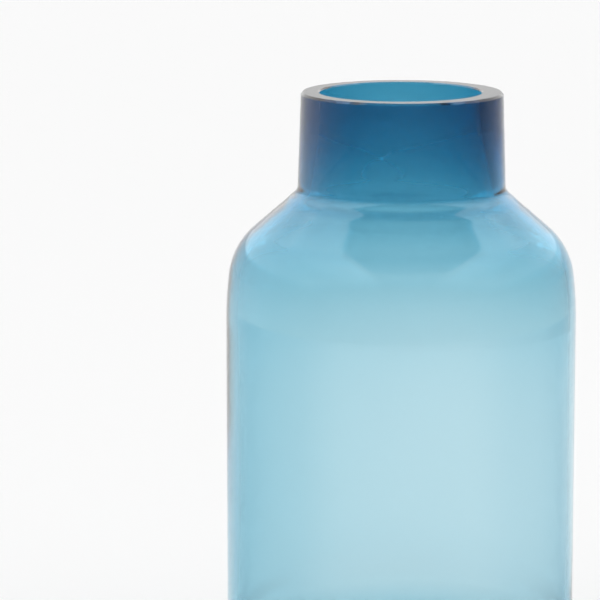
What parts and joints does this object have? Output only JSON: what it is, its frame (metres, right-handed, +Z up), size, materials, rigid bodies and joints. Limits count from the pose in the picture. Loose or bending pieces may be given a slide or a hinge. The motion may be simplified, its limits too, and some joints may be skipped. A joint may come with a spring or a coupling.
{
  "type": "blown glass vase",
  "caption": "Upright cylindrical vase with a sloping shoulder and a thick straight neck, blown as a blue glass lining inside a clear glass casing, with a ground flat rim.",
  "frame": {"origin": "centre of the foot ring, on the surface that the vase stands on", "axes": "+Z up along the axis that the vase is turned about, from the foot to the mouth"},
  "size_m": [0.125, 0.125, 0.23],
  "materials": {
    "clear_glass": "fire-polished colourless glass, ground and polished at the rim and the pontil mark",
    "blue_glass": "transparent steel-blue glass, deep in the neck and pale in the body"
  },
  "bodies": {
    "root": {"clear_casing": "clear_glass", "blue_lining": "blue_glass"}
  },
  "joints": []
}
